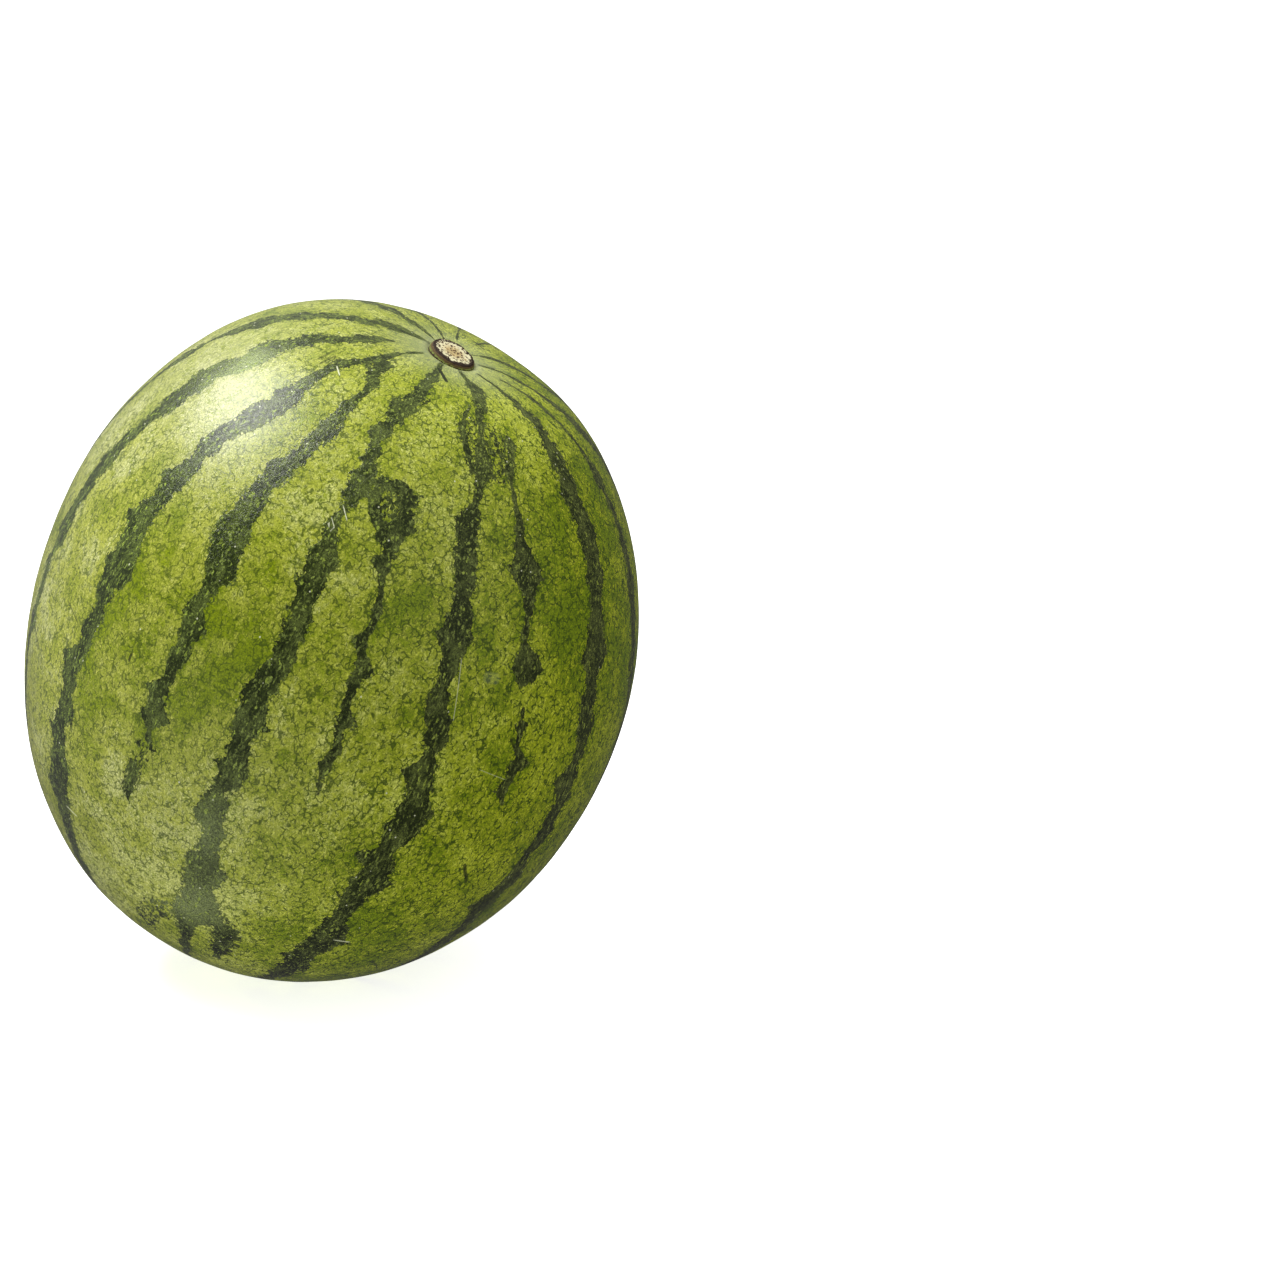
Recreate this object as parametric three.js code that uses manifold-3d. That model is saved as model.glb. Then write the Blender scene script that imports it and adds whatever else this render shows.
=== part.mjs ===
// A whole striped watermelon, picked and stood leaning on a small flat spot near its blossom end.
// It is one grown piece: the fruit, the corky plug that its stem left, and the blossom scar.
// Millimetres, +Z up. The origin is on the surface that it rests on, under the middle of its box.
import * as THREE from "three";
import { mergeVertices } from "three/addons/utils/BufferGeometryUtils.js";
import Module from "manifold-3d";

const wasm = await Module();
wasm.setup();

const { degToRad, smoothstep } = THREE.MathUtils;

// The fruit's own frame has its middle at the origin and the stem end at +Z.
const WIDE_RADIUS = 114; // half the width
const LONG_RADIUS = 134; // half the length, before the stem end is flattened
const FULLNESS = 2.04; // 2 gives an ellipse, and more gives a fuller outline
const STEM_FLATTENING = 8.7; // how far the stem end is pressed in
const STEM_FLAT_ANGLE = 0.35; // how wide that is, as radians from the stem
const FULL_SIDE = degToRad(172); // the side with the higher shoulder
const SHOULDER_LIFT = 1.4; // that shoulder, with as much taken off the belly below it
const WAIST_SWING = 0.6; // a quicker swing of the same side from end to end

// The corky plug that the stem left, in a puckered seat with a narrow groove round it.
const PLUG_RADIUS = 9.2;
const PLUG_FACE_RADIUS = 8.0;
const PLUG_HEIGHT = 2.0; // over the skin
const PLUG_SLOPE = 0.15; // the face slopes, because the stem came away at an angle
const PLUG_LOW_SIDE = degToRad(-45);
const GROOVE_RADIUS = 10.7;
const GROOVE_DEPTH = 0.6;
const PUCKER_RADIUS = 17;
const PUCKER_DEPTH = 0.6;

// The blossom scar at the other end, a small nub in a dimple.
const DIMPLE_RADIUS = 10;
const DIMPLE_DEPTH = 1.6;
const NUB_RADIUS = 4.4;
const NUB_TOP_RADIUS = 2.4;
const NUB_HEIGHT = 1.0;

// The stem end leans over, and the underside is pressed to a small flat spot.
const LEAN = degToRad(24.8); // from upright
const LEAN_TOWARDS = degToRad(-23.6); // from +X, turning towards +Y
const SEAT_DEPTH = 3.0; // how much of the round underside the flat spot takes
const GROUND_SIZE = 300; // the block that is cut away below the fruit

// The skin is a mesh of rings about the fruit's axis, which lie close together on the two scars.
const SECTORS = 72;
const BODY_RINGS = 36;
const STEM_RINGS = [2.7, 5.4, PLUG_FACE_RADIUS, 8.6, PLUG_RADIUS, 9.9, GROOVE_RADIUS, 13.2, 17, 22, 28];
const BLOSSOM_RINGS = [NUB_TOP_RADIUS, 3.4, NUB_RADIUS, 6.5, 9, 12, 16, 22];

// How far the skin is from the middle, at an angle from the stem and an angle round the axis.
function skinRadius(fromStem, round) {
  const across = Math.abs(Math.sin(fromStem)) / WIDE_RADIUS;
  const along = Math.abs(Math.cos(fromStem)) / LONG_RADIUS;
  const oval = (across ** FULLNESS + along ** FULLNESS) ** (-1 / FULLNESS);
  const pressed = STEM_FLATTENING * Math.exp(-((fromStem / STEM_FLAT_ANGLE) ** 2));
  const uneven = SHOULDER_LIFT * Math.sin(2 * fromStem) + WAIST_SWING * Math.sin(3 * fromStem);
  return oval - pressed + uneven * Math.cos(round - FULL_SIDE);
}

// The plug, its groove and the puckered skin round them, as a height over the smooth skin.
function stemRelief(reach, round) {
  const face = PLUG_HEIGHT + GROOVE_DEPTH - PLUG_SLOPE * reach * Math.cos(round - PLUG_LOW_SIDE);
  const plug = 1 - smoothstep(reach, PLUG_FACE_RADIUS, PLUG_RADIUS);
  const groove = 1 - smoothstep(reach, PLUG_RADIUS, GROOVE_RADIUS);
  const pucker = Math.exp(-((reach / PUCKER_RADIUS) ** 2));
  return face * plug - GROOVE_DEPTH * groove - PUCKER_DEPTH * pucker;
}

// The nub and its dimple, as a height over the smooth skin.
function blossomRelief(reach) {
  const nub = 1 - smoothstep(reach, NUB_TOP_RADIUS, NUB_RADIUS);
  const dimple = Math.exp(-((reach / DIMPLE_RADIUS) ** 2));
  return NUB_HEIGHT * nub - DIMPLE_DEPTH * dimple;
}

function skinPoint(fromStem, round) {
  const radius = skinRadius(fromStem, round);
  const reach = radius * Math.sin(fromStem);
  const relief = fromStem < Math.PI / 2 ? stemRelief(reach, round) : -blossomRelief(reach);
  return new THREE.Vector3(
    reach * Math.cos(round),
    reach * Math.sin(round),
    radius * Math.cos(fromStem) + relief,
  );
}

// The angle from the stem at which each ring lies, from the stem end to the blossom end.
function ringAngles() {
  const stem = STEM_RINGS.map((reach) => Math.asin(reach / (LONG_RADIUS - STEM_FLATTENING)));
  const blossom = BLOSSOM_RINGS.map((reach) => Math.PI - Math.asin(reach / LONG_RADIUS)).reverse();
  const start = stem.at(-1);
  const step = (blossom[0] - start) / (BODY_RINGS + 1);
  const body = Array.from({ length: BODY_RINGS }, (_, i) => start + (i + 1) * step);
  return [...stem, ...body, ...blossom];
}

// The whole round fruit as one closed mesh: a point at each end, and rings of corners between.
function roundFruit() {
  const angles = ringAngles();
  const points = [skinPoint(0, 0)];
  for (const angle of angles) {
    for (let s = 0; s < SECTORS; s++) points.push(skinPoint(angle, (2 * Math.PI * s) / SECTORS));
  }
  points.push(skinPoint(Math.PI, 0));

  const faces = [];
  const lastRing = angles.length - 1;
  const corner = (ring, s) => 1 + ring * SECTORS + (s % SECTORS);
  for (let s = 0; s < SECTORS; s++) {
    faces.push(0, corner(0, s), corner(0, s + 1));
    faces.push(corner(lastRing, s), points.length - 1, corner(lastRing, s + 1));
    for (let ring = 0; ring < lastRing; ring++) {
      faces.push(corner(ring, s), corner(ring + 1, s), corner(ring + 1, s + 1));
      faces.push(corner(ring, s), corner(ring + 1, s + 1), corner(ring, s + 1));
    }
  }
  return new THREE.BufferGeometry().setFromPoints(points).setIndex(faces);
}

// Leans the fruit over, and lowers it until the flat spot's plane is at Z 0.
function setDown(fruit) {
  const leanAxis = new THREE.Vector3(-Math.sin(LEAN_TOWARDS), Math.cos(LEAN_TOWARDS), 0);
  fruit.applyQuaternion(new THREE.Quaternion().setFromAxisAngle(leanAxis, LEAN));
  fruit.computeBoundingBox();
  const middle = fruit.boundingBox.getCenter(new THREE.Vector3());
  return fruit.translate(-middle.x, -middle.y, -fruit.boundingBox.min.z - SEAT_DEPTH);
}

// A closed geometry, its shared corners merged, as a solid that can be cut.
function solidOf(geometry) {
  return new wasm.Manifold(
    new wasm.Mesh({
      numProp: 3,
      vertProperties: geometry.getAttribute("position").array,
      triVerts: new Uint32Array(geometry.index.array),
    }),
  );
}

function geometryOf(solid) {
  const { vertProperties, triVerts } = solid.getMesh();
  const geometry = new THREE.BufferGeometry();
  geometry.setAttribute("position", new THREE.BufferAttribute(vertProperties, 3));
  geometry.setIndex(new THREE.BufferAttribute(triVerts, 1));
  geometry.computeVertexNormals();
  return geometry;
}

// What lies below the resting surface.
function ground() {
  const block = new THREE.BoxGeometry(GROUND_SIZE, GROUND_SIZE, GROUND_SIZE);
  block.deleteAttribute("normal");
  block.deleteAttribute("uv");
  return mergeVertices(block.translate(0, 0, -GROUND_SIZE / 2));
}

function watermelon() {
  const rind = new THREE.MeshStandardMaterial({ color: 0x84913a, roughness: 0.4, metalness: 0 });
  const seated = solidOf(setDown(roundFruit())).subtract(solidOf(ground()));
  const fruit = new THREE.Mesh(geometryOf(seated), rind);
  fruit.name = "watermelon";
  return fruit;
}

const part = new THREE.Group();
part.add(watermelon());
export default part;
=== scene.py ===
import functools
import math
from types import SimpleNamespace

import bpy
import numpy as np
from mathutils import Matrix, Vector


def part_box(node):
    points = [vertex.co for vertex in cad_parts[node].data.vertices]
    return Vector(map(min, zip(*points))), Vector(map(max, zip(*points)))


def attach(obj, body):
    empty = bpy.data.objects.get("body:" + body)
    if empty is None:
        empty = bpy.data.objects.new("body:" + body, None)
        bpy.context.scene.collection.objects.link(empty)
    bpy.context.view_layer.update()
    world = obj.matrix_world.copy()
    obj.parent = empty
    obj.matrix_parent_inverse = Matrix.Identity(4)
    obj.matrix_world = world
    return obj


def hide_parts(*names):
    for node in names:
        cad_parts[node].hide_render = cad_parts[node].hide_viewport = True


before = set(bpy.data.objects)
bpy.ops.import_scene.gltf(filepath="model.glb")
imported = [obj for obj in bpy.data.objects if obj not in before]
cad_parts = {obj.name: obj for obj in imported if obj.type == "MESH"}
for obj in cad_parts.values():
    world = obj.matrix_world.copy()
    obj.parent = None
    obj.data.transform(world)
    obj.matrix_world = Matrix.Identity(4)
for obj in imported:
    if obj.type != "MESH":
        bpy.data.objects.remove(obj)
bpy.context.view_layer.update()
print("frame loaded")

mm = 0.001  # metres in a millimetre

# The fruit's own frame has its middle at the origin and the stem end at +Z.
fruit = {
    "wideRadius": 114.0,  # mm, half the width
    "longRadius": 134.0,  # mm, half the length before the stem end is flattened
    "fullness": 2.04,  # 2 is an ellipse, more is fuller
    "stemFlattening": 8.7,  # mm the stem end is pressed in
    "stemFlatAngle": 0.35,  # radians from the stem that this reaches
    "fullSide": 172.0,  # degrees round, the side with the higher shoulder
    "shoulderLift": 1.4,  # mm
    "waistSwing": 0.6,  # mm
    "lean": 24.8,  # degrees from upright
    "leanTowards": -23.6,  # degrees from +X
    "seatDepth": 3.0,  # mm of the round underside that the flat spot takes
    "seatRounding": 1.0,  # mm, how softly the flat spot meets the round
    "swell": 0.35,  # mm of slow unevenness, as any grown fruit has
    "swellLength": 60.0,  # mm from swell to swell
    "dimples": 0.05,  # mm of finer unevenness, which breaks up the highlights
    "dimpleLength": 13.0,  # mm
    "seed": 7,
}

# Where the stem and the blossom were.
scars = {
    "plugRadius": 9.2,  # mm
    "faceRadius": 8.0,  # mm
    "faceFlat": 0.9,  # the share of that radius that is flat
    "plugHeight": 2.0,  # mm over the skin
    "plugShoulder": 0.7,  # mm under the face, half way out to the side
    "plugTaper": 1.0,  # mm that its root is drawn in
    "plugRoot": 2.0,  # mm that it goes down into the fruit
    "plugSlope": 0.15,  # the face slopes, because the stem came away at an angle
    "lowSide": -45.0,  # degrees round, the face's low side
    "plugLumps": (2.4, 0.16),  # mm from lump to lump, and mm high
    "edgeRounding": 0.1,  # mm
    "grooveRadius": 10.7,  # mm
    "grooveDepth": 0.6,  # mm
    "puckerRadius": 17.0,  # mm
    "puckerDepth": 0.6,  # mm
    "dimpleRadius": 10.0,  # mm, at the blossom end
    "dimpleDepth": 1.6,  # mm
    "nubRadius": 4.4,  # mm
    "nubTopRadius": 2.4,  # mm
    "nubHeight": 1.0,  # mm
    "nubTaper": 0.3,  # mm
    "nubRoot": 1.2,  # mm
    "nubLumps": (1.6, 0.12),  # mm
}


# A smooth step: 3t^2 - 2t^3, where t runs from 0 at low to 1 at high.
def smoothStep(x, low, high):
    t = np.clip((x - low) / (high - low), 0, 1)
    return t * t * (3 - 2 * t)


# Slow random waves: the mean of plane waves of about one length in random directions.
def ripple(points, length, seed, waves=24, spread=(0.7, 1.4)):
    draw = np.random.default_rng(seed)
    ways = draw.normal(size=(waves, 3))
    ways /= np.linalg.norm(ways, axis=1, keepdims=True)
    turns = 2 * math.pi / (length * draw.uniform(*spread, waves))
    phase = draw.uniform(0, 2 * math.pi, waves)
    return np.cos(points @ (ways * turns[:, None]).T + phase).mean(axis=-1) * math.sqrt(waves / 2)


# The distance from the fruit's middle: a superellipse, less a bell at the stem end,
# plus a swing of one side from end to end.
def skinRadius(fromStem, around):
    across = np.abs(np.sin(fromStem)) / fruit["wideRadius"]
    along = np.abs(np.cos(fromStem)) / fruit["longRadius"]
    oval = (across ** fruit["fullness"] + along ** fruit["fullness"]) ** (-1 / fruit["fullness"])
    pressed = fruit["stemFlattening"] * np.exp(-((fromStem / fruit["stemFlatAngle"]) ** 2))
    uneven = fruit["shoulderLift"] * np.sin(2 * fromStem) + fruit["waistSwing"] * np.sin(3 * fromStem)
    return oval - pressed + uneven * np.cos(around - math.radians(fruit["fullSide"]))


# Points at a polar angle and an angle round, in the fruit's own frame, raised along the axis.
def skinPoints(fromStem, around, raised=0.0):
    radius = skinRadius(fromStem, around)
    reach = radius * np.sin(fromStem)
    height = radius * np.cos(fromStem) + raised
    return np.stack([reach * np.cos(around), reach * np.sin(around), height + 0 * around], axis=-1)


# The groove and the pucker round the plug, and the dimple at the blossom end, along the axis.
def scarRelief(reach, fromStem):
    groove = 1 - smoothStep(reach, scars["plugRadius"], scars["grooveRadius"])
    pucker = np.exp(-((reach / scars["puckerRadius"]) ** 2))
    dimple = np.exp(-((reach / scars["dimpleRadius"]) ** 2))
    stem = -scars["grooveDepth"] * groove - scars["puckerDepth"] * pucker
    return np.where(fromStem < math.pi / 2, stem, scars["dimpleDepth"] * dimple)


# The lean about a level axis, as a matrix: turn the lean's direction to X, tip, and turn back.
def leanMatrix():
    way, tip = math.radians(fruit["leanTowards"]), math.radians(fruit["lean"])
    turn = np.array([[math.cos(way), -math.sin(way), 0], [math.sin(way), math.cos(way), 0], [0, 0, 1]])
    tipped = np.array([[math.cos(tip), 0, math.sin(tip)], [0, 1, 0], [-math.sin(tip), 0, math.cos(tip)]])
    return turn @ tipped @ turn.T


# The fruit's middle in the frame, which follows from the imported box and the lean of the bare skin.
def fruitMiddle():
    low, high = (np.array(corner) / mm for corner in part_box("watermelon"))
    count = 361  # rows and columns, a degree or less apart
    fromStem, around = np.meshgrid(np.linspace(0, math.pi, count), np.linspace(0, 2 * math.pi, count))
    leaned = (skinPoints(fromStem, around) @ lean.T).reshape(-1, 3)
    middle = (low + high) / 2 - (leaned.min(axis=0) + leaned.max(axis=0)) / 2
    middle[2] = low[2] - leaned[:, 2].min() - fruit["seatDepth"]
    return middle


# From the fruit's own frame to the shared one, in mm. Below the rounding height the skin bends
# along a parabola into the flat spot, so nothing goes under the resting surface.
def setDown(points):
    placed = points @ lean.T + middle
    rounding = fruit["seatRounding"]
    height = placed[..., 2]
    bent = (np.maximum(height, -rounding) + rounding) ** 2 / (4 * rounding)
    placed[..., 2] = np.where(height > rounding, height, bent)
    return placed


lean = leanMatrix()
middle = fruitMiddle()
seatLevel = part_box("watermelon")[0][2] / mm


# A closed skin from rows of points that run round the axis: a pole, the rows, and a pole.
def closedSkin(name, first, rows, last, material):
    count, around = rows.shape[:2]
    points = np.concatenate([first[None], rows.reshape(-1, 3), last[None]]) * mm
    ring = np.arange(around)
    after = (ring + 1) % around
    starts = 1 + np.arange(count - 1)[:, None] * around
    below = starts + around
    quads = np.stack([starts + ring, below + ring, below + after, starts + after], axis=-1)
    top = np.stack([0 * ring, 1 + ring, 1 + after], axis=-1)
    end = 1 + (count - 1) * around
    bottom = np.stack([end + ring, np.full(around, len(points) - 1), end + after], axis=-1)
    mesh = bpy.data.meshes.new(name)
    mesh.from_pydata(points.tolist(), [], top.tolist() + quads.reshape(-1, 4).tolist() + bottom.tolist())
    mesh.shade_smooth()
    mesh.materials.append(material)
    piece = bpy.data.objects.new(name, mesh)
    bpy.context.scene.collection.objects.link(piece)
    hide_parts("watermelon")
    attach(piece, "root")
    return piece


# Writes one number or one vector for each corner point of a closed skin.
def giveAttribute(piece, name, first, rows, last):
    vector = rows.ndim == 3
    kind, field = ("FLOAT_VECTOR", "vector") if vector else ("FLOAT", "value")
    flat = rows.reshape(-1, 3) if vector else rows.ravel()
    values = np.concatenate([np.atleast_1d(first).reshape(-1, *flat.shape[1:]), flat,
                             np.atleast_1d(last).reshape(-1, *flat.shape[1:])])
    attribute = piece.data.attributes.new(name, kind, "POINT")
    attribute.data.foreach_set(field, values.astype(np.float32).ravel())


# A map for baking: the angle round against the row, with the seam where the angle round starts.
def giveBakeMap(piece, rowCount, around):
    ring = np.arange(around) + 0 * np.arange(rowCount + 1)[:, None]
    row = 0 * np.arange(around) + np.arange(rowCount + 1)[:, None]
    before, centre, after = ring / around, (ring + 0.5) / around, (ring + 1) / around
    high, low = 1 - row / (rowCount + 1), 1 - (row + 1) / (rowCount + 1)
    top = np.stack([centre[0], high[0], before[0], low[0], after[0], low[0]], axis=-1)
    quads = np.stack([before, high, before, low, after, low, after, high], axis=-1)[1:-1]
    bottom = np.stack([before[-1], high[-1], centre[-1], low[-1], after[-1], high[-1]], axis=-1)
    layer = piece.data.uv_layers.new(name="OFBake")
    layer.data.foreach_set("uv", np.concatenate([part.ravel() for part in (top, quads, bottom)]))


# Each stripe is a list of (degrees from the stem, left edge, right edge), with the edges in degrees
# round the fruit. One degree is 2 mm at the fruit's widest. Between the points the edges sag inwards.
stripes = {
    "farRim": [
        (4.6, -256, -252), (10, -253.5, -249), (14, -251, -247.5), (19, -249, -245), (30, -250, -245),
        (44, -252, -246), (60, -249, -245), (84, -251, -246), (110, -249, -245), (136, -250, -246),
    ],
    "backRim": [
        (4.6, -231, -226), (8, -231.5, -226), (11, -230.5, -222.5), (14, -226.5, -221), (17, -228, -219),
        (21, -226, -217.5), (26, -224, -219), (34, -225, -217), (46, -226, -220), (58, -224, -217),
        (76, -225, -220), (98, -226, -218), (120, -224, -219), (146, -225, -220),
    ],
    "leftLimb": [
        (4.6, -206, -198), (8, -203, -190.5), (11, -199.5, -186), (13, -196, -183), (15, -190, -180),
        (18, -187, -179.3), (21, -185, -178), (25, -184, -176.5), (33, -185, -176), (38, -182, -178.5),
        (42, -182, -180), (46, -183, -177.5), (50, -181.5, -179.5), (60, -182, -179.5), (74, -184, -179),
        (90, -183, -180), (108, -184, -179), (126, -183, -180), (140, -182, -178), (156, -181, -179),
    ],
    "farLeft": [
        (10.5, -160, -158), (13, -163, -155.5), (15, -162, -152), (16.5, -161, -149.5), (18, -158, -151),
        (20, -158, -153), (23, -160.5, -153), (25, -162.5, -153.5), (28, -160.5, -155),
        (32, -163.5, -153.5), (35.5, -161, -151.5), (39, -162.5, -155), (43, -164.2, -156),
        (45, -164, -155.5), (50, -163.5, -157), (57, -163.2, -160), (60, -165, -160), (66, -166.3, -159.5),
        (71, -165.5, -161), (80, -166.5, -160.5), (83, -165.5, -160), (85, -165, -163),
        (89, -165.3, -161.5), (96, -164, -161.5), (100, -164.5, -160), (104, -164.5, -162),
        (120, -165, -161), (138, -164, -160), (152, -162, -160),
    ],
    "left": [
        (6, -142.5, -138), (9, -140.5, -136.3), (12, -139, -134.5), (14, -138, -132), (17, -137.5, -130),
        (20, -136.5, -132), (23.5, -139, -133.5), (27, -137.5, -134.5), (35, -138.5, -131),
        (41, -139.5, -132.5), (48, -142, -136.5), (53, -140.5, -136.5), (57, -144, -137), (60, -142, -138),
        (66.5, -145.3, -137), (69, -142, -136), (75, -143.7, -134.8), (79, -141.5, -136.5),
        (85, -140.5, -137), (88, -141, -136.3), (91, -140.7, -137.5), (96, -144.3, -138), (99, -143, -138),
        (102, -141.5, -138.3), (104.5, -141.5, -135.7), (108, -142, -137), (111, -143.5, -138),
        (114, -141.5, -137), (117, -141.8, -134.5), (124, -143.7, -135), (130, -141, -135.5),
        (141, -140, -133), (152, -138, -133),
    ],
    "leftBridge": [(16, -129, -124), (18.5, -130, -123.5), (20.5, -127, -121), (23, -124, -119.5)],
    "midLeft": [
        (21, -122, -119.5), (22.5, -122, -116.5), (24, -120, -117), (28, -120.5, -117),
        (34.5, -120.3, -114.7), (40, -121, -116.5), (44.5, -123.2, -117), (50, -123, -118),
        (55, -124, -117.5), (57, -124.7, -117), (60, -123.5, -116.5), (64, -121.5, -114.5),
        (65.5, -121, -116.5), (70, -120.3, -117), (71.5, -122, -117), (74, -120.3, -115.5),
        (80, -119.8, -116.3), (85, -119, -117.2), (88.5, -121.2, -116.8), (90, -119.8, -117),
        (92.5, -120, -115), (94, -121.7, -116.5), (95.3, -118.8, -117.3), (98, -118, -116.5),
        (99, -117, -115),
    ],
    "midLeftIsland": [
        (103, -119, -118), (106, -119.8, -117.3), (109.5, -119.4, -117.6), (112, -118.6, -117.8),
    ],
    "middle": [
        (4.6, -108, -101), (8, -107, -99), (11, -105, -97), (17, -104, -95.5), (21, -104.5, -96),
        (23.5, -108.5, -99), (26, -106, -101.5), (30.5, -107, -102), (34, -105.5, -101.5),
        (39, -104.7, -98), (43.5, -104, -100.7), (48, -104.2, -101.5), (53, -104.5, -98),
        (58, -104, -98.8), (64, -103, -98.5), (70, -102, -97.4), (75, -103, -98.5), (79, -104.6, -98.8),
        (84.5, -104.2, -97.6), (91, -103, -99), (94.5, -103.8, -98), (97, -102.8, -98.8),
        (101, -103.3, -99.3), (106, -105, -98.2), (108, -102.7, -97), (114, -102, -97.5),
        (117, -103.5, -93.5), (120, -102.8, -95.5), (127, -102.5, -92.8), (131, -103, -93.5),
        (134, -102.3, -96.6), (138, -101, -97.2), (145, -100.2, -96.6), (155, -99.5, -96.6),
    ],
    "middleRightFork": [
        (128.5, -97, -91), (131, -94.5, -88), (133, -92.5, -86.5), (135.5, -92, -87.8), (140, -91, -87),
        (145, -89.6, -87.6),
    ],
    "loopTop": [(36.7, -95.5, -91), (37.6, -98.7, -88.3), (38.6, -98.6, -87)],
    "loopLeft": [
        (38, -99.2, -97.2), (41, -98.4, -95.8), (43.5, -96.2, -93.4), (45.5, -94.6, -91.6),
        (47.5, -92.2, -89.8),
    ],
    "loopRight": [
        (38.5, -91.5, -86.8), (43, -90.5, -85.6), (46, -91.5, -87), (50.5, -91.7, -88),
        (52.5, -89.2, -87.6), (58, -88, -86.2), (61, -87.8, -86.5), (63.5, -89.7, -87), (66.3, -87.7, -85),
        (68, -87.5, -83.2), (71, -87.4, -85.3), (75, -87, -85.8), (77.5, -87.2, -83.5), (80, -86.5, -84.6),
        (83, -85.6, -84), (86.5, -86.9, -84.6), (92.5, -85.5, -84.8),
    ],
    "midRight": [
        (4.6, -72, -65), (8, -71, -62), (10.5, -69, -56.5), (13, -68.5, -58.5), (16, -69.2, -62),
        (20, -69.8, -66), (24, -70.5, -67), (27, -71.5, -66), (30, -71.5, -66), (33.5, -71.2, -68.3),
        (36, -72, -69.5), (39, -75.6, -69.5), (45, -74, -68.7), (50, -72.7, -68), (55, -73.5, -67.8),
        (58, -74.2, -66.8), (61, -71.9, -67.2), (66, -72, -68.5), (70, -72.5, -68.7), (73, -72.2, -65.9),
        (76, -70.3, -66.5), (81, -70.2, -66.2), (83.3, -72.6, -66.2), (85.5, -70.2, -66.1),
        (91, -70.3, -63.6), (95, -71.4, -64.5), (98, -70.2, -66.3), (102.5, -74, -66.3), (104.5, -72, -66),
        (107.7, -72, -64), (112, -73, -67), (119, -72.2, -67.7), (125.5, -73.5, -64.5), (129, -73.3, -67),
        (133.5, -75.3, -68.3), (138, -73.3, -65.5), (143, -73, -66.5), (155, -72, -67),
    ],
    "netLeftStrand": [
        (16.5, -73, -71.3), (19, -77, -74.5), (21.5, -79.3, -76), (24, -78, -75.3), (27, -76, -73.5),
        (30, -73, -70.5),
    ],
    "netRightStrand": [(22, -56.5, -54.5), (23.6, -57.5, -52), (26, -57.6, -55), (29, -60, -57)],
    "right": [
        (28, -60.5, -57.4), (33, -58.8, -57.3), (38, -58.4, -55.3), (43, -58.2, -53.2), (45.2, -61, -51),
        (46.5, -58, -50.4), (50, -55, -52.3), (57, -55, -53.2), (59.5, -55.6, -50.5), (62, -56, -48.8),
        (65.2, -53.5, -51.7),
    ],
    "rightIsland": [
        (68.5, -52, -51.5), (72, -52.2, -49.5), (76, -51.4, -50.2), (79.5, -51.2, -46.8),
        (81.5, -51.2, -49), (85, -52.7, -49.2), (88, -49.6, -49),
    ],
    "farRight": [
        (5.5, -31, -27.5), (9, -30.5, -27), (12, -33, -26.8), (15, -33, -26), (18, -32.5, -23.5),
        (21, -32, -26.5), (24, -36, -27.5), (28, -36, -28), (32, -38.5, -28.5), (36, -35.5, -27.3),
        (40, -34.5, -26.5), (47, -34.5, -26.7), (49.5, -34, -28.4), (58, -35.5, -27.5), (61, -36.2, -26.3),
        (64, -34.3, -29.8), (69, -35.6, -29.8), (74, -34, -28.7), (80, -33, -29.9), (84, -37, -30.2),
        (89, -34.7, -29.3), (93, -35.2, -31), (96, -35, -29.8), (101, -36.5, -33), (108, -38.3, -31.5),
        (113, -42, -34), (119, -38.5, -34), (126, -40, -33), (140, -37, -32), (155, -35, -32),
    ],
    "rightLimb": [
        (9, -5, -3), (12, -5.3, -2.5), (15, -6.5, -2), (18.5, -9, -4.8), (22, -8.5, -6), (27, -10, -6.8),
        (32, -12, -6.5), (44, -11, -7), (52, -12, -6), (66, -13, -8), (78, -12, -8.5), (92, -14, -8),
        (106, -12, -9), (118, -14, -8), (130, -12, -9), (142, -12, -9.5),
    ],
    "overLimb": [
        (5, 15, 21), (8, 17, 22), (12, 13.5, 18.5), (16, 9.5, 14), (20, 7.5, 13), (25, 5, 13), (31, 7, 14),
        (44, 9, 15), (60, 8, 13), (78, 9, 15), (96, 8, 14), (118, 9, 15), (146, 9, 14),
    ],
    "slanting": [
        (4.6, 55, 60), (10, 44.5, 50), (13, 39, 44), (16, 34.5, 40), (20, 28, 33), (26, 26.5, 33),
        (35, 27, 34), (48, 29, 35), (66, 28, 33), (84, 28.5, 34), (98, 29.5, 31),
    ],
}

# Places where a stripe opens into a net of thin lines, in the same form.
nets = {
    "leftBridge": [(14.6, -136, -125), (17, -136, -124), (19.6, -135, -123)],
    "middleLeaf": [(22, -107, -100), (24, -109, -99), (26.5, -106.5, -100)],
    "middleFork": [
        (131, -105, -100), (133.5, -110.5, -100.5), (137, -112, -104.5), (141, -115, -107.5),
        (145, -112, -108.5),
    ],
    "rightFork": [(128, -95, -89), (131, -94, -86.5), (136, -93, -86), (141, -92, -86)],
    "loop": [(38, -98.4, -87), (41, -97.5, -89), (44, -94.5, -89), (47, -92, -89)],
    "shoulder": [
        (19.5, -78, -66), (21.5, -79, -59), (23.3, -78, -52.8), (25.5, -77.6, -54.5), (28, -75, -57),
        (31, -72.5, -60),
    ],
    "lowIsland": [(99, -118.6, -116), (102, -119.5, -117), (106, -120.5, -116.5), (111, -120, -117.2)],
}

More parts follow.
